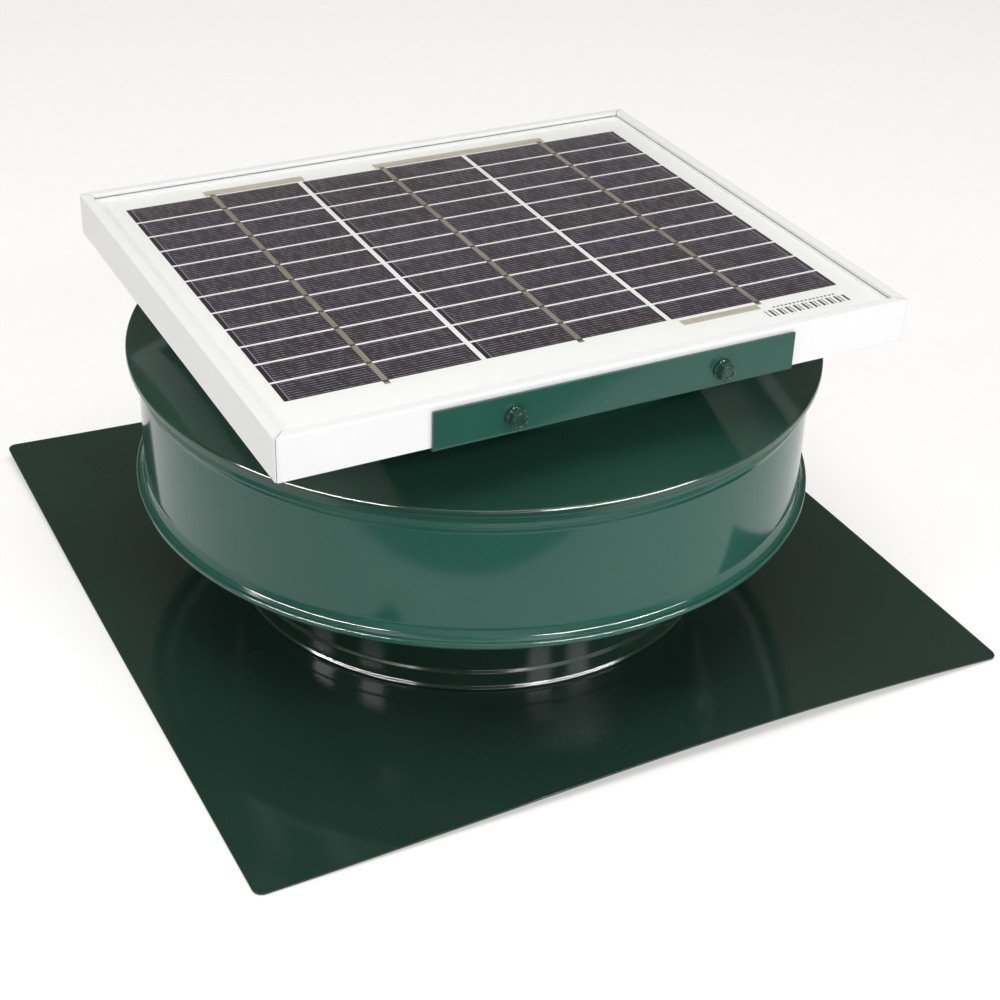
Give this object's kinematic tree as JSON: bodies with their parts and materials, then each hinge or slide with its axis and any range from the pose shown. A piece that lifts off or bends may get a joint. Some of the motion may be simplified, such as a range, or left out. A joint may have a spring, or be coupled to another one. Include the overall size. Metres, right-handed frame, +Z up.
{
  "type": "solar attic fan",
  "caption": "Round roof vent on a square flashing flange, with a motor-driven fan in its throat, a drum-shaped cap with a wind band, and a small solar panel on a folded bracket above the cap.",
  "frame": {"origin": "centre of the underside of the square flange, on the fan's axis", "axes": "+Z up along the fan's axis, +X to the right, -Y to the front, where the bracket's ear with two screws faces"},
  "size_m": [0.343, 0.343, 0.165],
  "materials": {
    "green_paint": "gloss",
    "white_frame": "satin",
    "panel_glass": "clear, smooth",
    "solar_cells": "satin",
    "bare_aluminium": "mill finish",
    "zinc_steel": "zinc plated",
    "screen_wire": "galvanised",
    "motor_steel": "dull",
    "black_plastic": "matte",
    "black_rubber": "matte",
    "cable_jacket": "satin",
    "ferrite": "matte",
    "carbon": "matte",
    "copper": "polished"
  },
  "bodies": {
    "housing": {"base_flange": "green_paint", "throat_collar": "green_paint", "wind_band": "green_paint", "cap_dome": "green_paint", "panel_bracket": "green_paint", "panel_screw_1": "green_paint", "panel_screw_2": "green_paint", "panel_screw_3": "green_paint", "panel_screw_4": "green_paint", "cap_leg_1": "bare_aluminium", "cap_bolt_1": "zinc_steel", "cap_nut_1": "zinc_steel", "leg_screw_1": "zinc_steel", "cap_leg_2": "bare_aluminium", "cap_bolt_2": "zinc_steel", "cap_nut_2": "zinc_steel", "leg_screw_2": "zinc_steel", "cap_leg_3": "bare_aluminium", "cap_bolt_3": "zinc_steel", "cap_nut_3": "zinc_steel", "leg_screw_3": "zinc_steel", "cap_leg_4": "bare_aluminium", "cap_bolt_4": "zinc_steel", "cap_nut_4": "zinc_steel", "leg_screw_4": "zinc_steel", "exhaust_screen": "screen_wire", "motor_strap": "bare_aluminium", "motor_can": "motor_steel", "motor_end_cap": "black_plastic", "motor_magnet_1": "ferrite", "motor_brush_1": "carbon", "motor_screw_1": "zinc_steel", "strap_screw_1": "zinc_steel", "motor_magnet_2": "ferrite", "motor_brush_2": "carbon", "motor_screw_2": "zinc_steel", "strap_screw_2": "zinc_steel", "bearing_front": "zinc_steel", "bearing_rear": "zinc_steel", "frame_rail_front": "white_frame", "frame_rail_back": "white_frame", "frame_rail_left": "white_frame", "frame_rail_right": "white_frame", "panel_glass": "panel_glass", "cell_laminate": "solar_cells", "junction_box": "black_plastic", "junction_lid": "black_plastic", "cable_gland": "black_plastic", "lead_cable": "cable_jacket", "cap_grommet": "black_rubber"},
    "rotor": {"motor_shaft": "zinc_steel", "armature": "motor_steel", "commutator": "copper", "fan_wheel": "bare_aluminium", "fan_hub": "bare_aluminium", "hub_set_screw": "motor_steel"}
  },
  "joints": [
    {"name": "fan_spin", "type": "hinge", "parent": "housing", "child": "rotor", "pos_m": [0, 0, 0.028], "axis": [0, 0, 1], "continuous": true}
  ]
}
